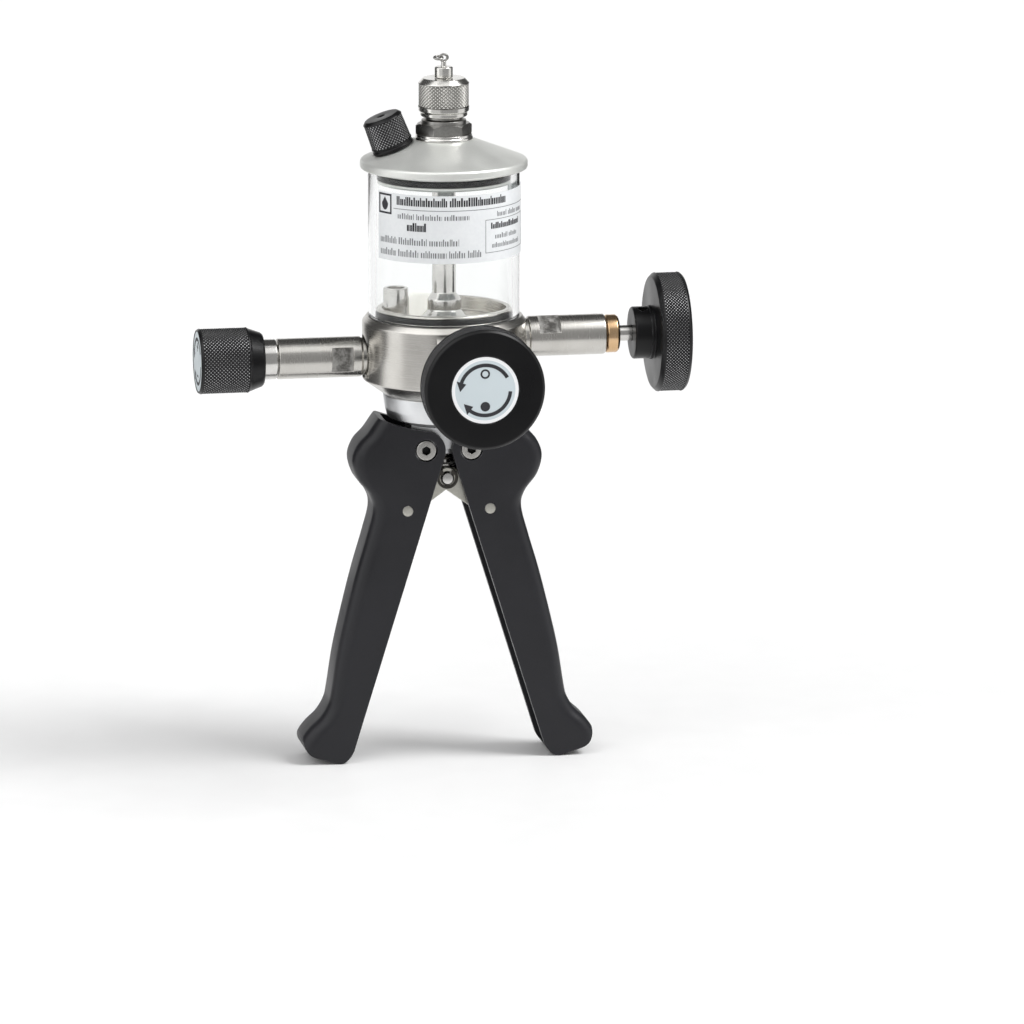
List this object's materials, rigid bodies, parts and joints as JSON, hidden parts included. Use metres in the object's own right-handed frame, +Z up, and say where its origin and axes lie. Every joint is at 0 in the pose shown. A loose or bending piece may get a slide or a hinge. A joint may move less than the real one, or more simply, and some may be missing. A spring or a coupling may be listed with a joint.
{
  "type": "hydraulic hand pump",
  "caption": "Scissor-handle hydraulic hand pump with a clear oil reservoir, shut-off and vent valves, a fine-adjust screw and a capped outlet on its lid.",
  "frame": {"origin": "middle of the overall footprint, level with the lowest point of the two handle feet; the pump's own axis stands at x 1.40 mm, y 33.35 mm", "axes": "+Z up along the pump's axis, the plunger's line; -Y towards the front, where the vent valve is; +X towards the shut-off valve, with the fine adjuster on -X"},
  "size_m": [0.2064, 0.1368, 0.2999],
  "materials": {
    "steel": "brushed stainless",
    "bright": "bright nickel plate",
    "aluminium": "fine bead-blasted",
    "pale_aluminium": "pale satin anodised",
    "brass": "turned brass",
    "bronze": "plain bearing bronze",
    "spring_steel": "oil-blackened",
    "grip": "satin charcoal powder coat",
    "knob": "black anodised, knurled",
    "rubber": "smooth black",
    "ptfe": "white sealing plastic",
    "label": "white vinyl",
    "acrylic": "clear polished acrylic"
  },
  "bodies": {
    "pump_body": {"manifold_block": "steel", "lower_housing": "pale_aluminium", "plunger_bush": "bronze", "plunger_seal": "rubber", "intake_strainer": "ptfe", "return_pipe": "steel", "reservoir_tube": "acrylic", "reservoir_label": "label", "lower_reservoir_seal": "rubber", "upper_reservoir_seal": "rubber", "delivery_tube": "bright", "reservoir_lid": "aluminium", "outlet_washer": "bright", "outlet_fitting": "steel", "right_valve_body": "steel", "right_gland_nut": "brass", "right_valve_packing": "ptfe", "front_valve_body": "steel", "front_gland_nut": "brass", "front_valve_packing": "ptfe", "fine_adjust_barrel": "steel", "fine_adjust_guide": "steel", "right_pivot_screw": "steel", "right_pivot_nut": "steel", "left_pivot_screw": "steel", "left_pivot_nut": "steel"},
    "left_handle": {"left_handle_grip": "grip", "left_link_pin": "bright"},
    "right_handle": {"right_handle_grip": "grip", "right_link_pin": "bright"},
    "left_links": {"left_link_front": "steel", "left_link_rear": "steel"},
    "right_links": {"right_link_front": "steel", "right_link_rear": "steel"},
    "plunger_rod": {"plunger": "bright", "crosshead_pin": "bright", "crosshead_clip_front": "spring_steel", "crosshead_clip_rear": "spring_steel", "return_spring": "spring_steel"},
    "right_needle": {"right_valve_needle": "bright"},
    "right_knob": {"right_valve_stem": "bright", "right_valve_knob": "knob", "right_knob_screw": "spring_steel"},
    "front_needle": {"front_valve_needle": "bright"},
    "front_knob": {"front_valve_stem": "bright", "front_valve_knob": "knob", "front_knob_screw": "spring_steel"},
    "fine_piston": {"fine_adjust_piston": "bright", "fine_piston_seal": "rubber"},
    "fine_thimble": {"fine_adjust_spindle": "steel", "fine_adjust_thimble": "knob"},
    "filler_seal": {"filler_cap_seal": "rubber"},
    "filler_knob": {"filler_cap": "knob"},
    "cap_post": {"dust_cap_post": "bright", "chain_eye": "bright", "chain_link": "bright"},
    "cap_nut": {"dust_cap": "bright"},
    "inlet_ball": {"inlet_check_ball": "bright"},
    "outlet_ball": {"outlet_check_ball": "bright", "outlet_check_spring": "spring_steel"}
  },
  "joints": [
    {"name": "left_handle_squeeze", "type": "hinge", "parent": "pump_body", "child": "left_handle", "pos_m": [-0.00823, 0.03335, 0.13354], "axis": [0, -1, 0], "range_deg": [0, 17.2]},
    {"name": "right_handle_squeeze", "type": "hinge", "parent": "pump_body", "child": "right_handle", "pos_m": [0.01103, 0.03335, 0.13354], "axis": [0, 1, 0], "range_deg": [0, 17.2]},
    {"name": "left_link_swing", "type": "hinge", "parent": "left_handle", "child": "left_links", "pos_m": [-0.01615, 0.03335, 0.10794], "axis": [0, -1, 0], "range_deg": [0, 11.2]},
    {"name": "right_link_swing", "type": "hinge", "parent": "right_handle", "child": "right_links", "pos_m": [0.01895, 0.03335, 0.10794], "axis": [0, 1, 0], "range_deg": [0, 11.2]},
    {"name": "plunger_lift", "type": "slide", "parent": "pump_body", "child": "plunger_rod", "axis": [0, 0, 1], "range_m": [0, 0.0058], "deforming": ["return_spring"]},
    {"name": "right_needle_slide", "type": "slide", "parent": "pump_body", "child": "right_needle", "axis": [1, 0, 0], "range_m": [0, 0.00187]},
    {"name": "right_knob_turn", "type": "hinge", "parent": "right_needle", "child": "right_knob", "pos_m": [0.0854, 0.03335, 0.17874], "axis": [1, 0, 0], "range_deg": [0, 540.5]},
    {"name": "front_needle_slide", "type": "slide", "parent": "pump_body", "child": "front_needle", "axis": [0, -1, 0], "range_m": [0, 0.00187]},
    {"name": "front_knob_turn", "type": "hinge", "parent": "front_needle", "child": "front_knob", "pos_m": [0.0014, -0.05065, 0.17654], "axis": [0, -1, 0], "range_deg": [0, 540.5]},
    {"name": "fine_piston_slide", "type": "slide", "parent": "pump_body", "child": "fine_piston", "axis": [-1, 0, 0], "range_m": [-0.00525, 0.00525]},
    {"name": "fine_thimble_turn", "type": "hinge", "parent": "fine_piston", "child": "fine_thimble", "pos_m": [-0.0886, 0.03335, 0.17254], "axis": [-1, 0, 0], "range_deg": [-1260.5, 1260.5]},
    {"name": "filler_cap_lift", "type": "slide", "parent": "pump_body", "child": "filler_seal", "axis": [-0.359, 0, 0.9333], "range_m": [0, 0.0045]},
    {"name": "filler_cap_turn", "type": "hinge", "parent": "filler_seal", "child": "filler_knob", "pos_m": [-0.0198, 0.03335, 0.26044], "axis": [-0.359, 0, 0.9333], "range_deg": [0, 1080.5]},
    {"name": "cap_nut_lift", "type": "slide", "parent": "pump_body", "child": "cap_post", "axis": [0, 0, 1], "range_m": [0, 0.005]},
    {"name": "cap_nut_turn", "type": "hinge", "parent": "cap_post", "child": "cap_nut", "pos_m": [0.0014, 0.03335, 0.28254], "axis": [0, 0, 1], "range_deg": [0, 1440.5]},
    {"name": "inlet_ball_lift", "type": "slide", "parent": "pump_body", "child": "inlet_ball", "axis": [0, 0, 1], "range_m": [0, 0.0015]},
    {"name": "outlet_ball_lift", "type": "slide", "parent": "pump_body", "child": "outlet_ball", "axis": [0, 0, 1], "range_m": [0, 0.0012], "deforming": ["outlet_check_spring"]}
  ],
  "couplings": [
    {"joint": "right_handle_squeeze", "follows": "left_handle_squeeze", "ratio": 1},
    {"joint": "left_link_swing", "follows": "left_handle_squeeze", "ratio": 0.648},
    {"joint": "right_link_swing", "follows": "left_handle_squeeze", "ratio": 0.648},
    {"joint": "plunger_lift", "follows": "left_handle_squeeze", "m_per_rad": 0.01928},
    {"joint": "right_knob_turn", "follows": "right_needle_slide", "rad_per_m": 5026.5},
    {"joint": "front_knob_turn", "follows": "front_needle_slide", "rad_per_m": 5026.5},
    {"joint": "fine_thimble_turn", "follows": "fine_piston_slide", "rad_per_m": 4188.8},
    {"joint": "filler_cap_turn", "follows": "filler_cap_lift", "rad_per_m": 4188.8},
    {"joint": "cap_nut_turn", "follows": "cap_nut_lift", "rad_per_m": 5026.5}
  ]
}
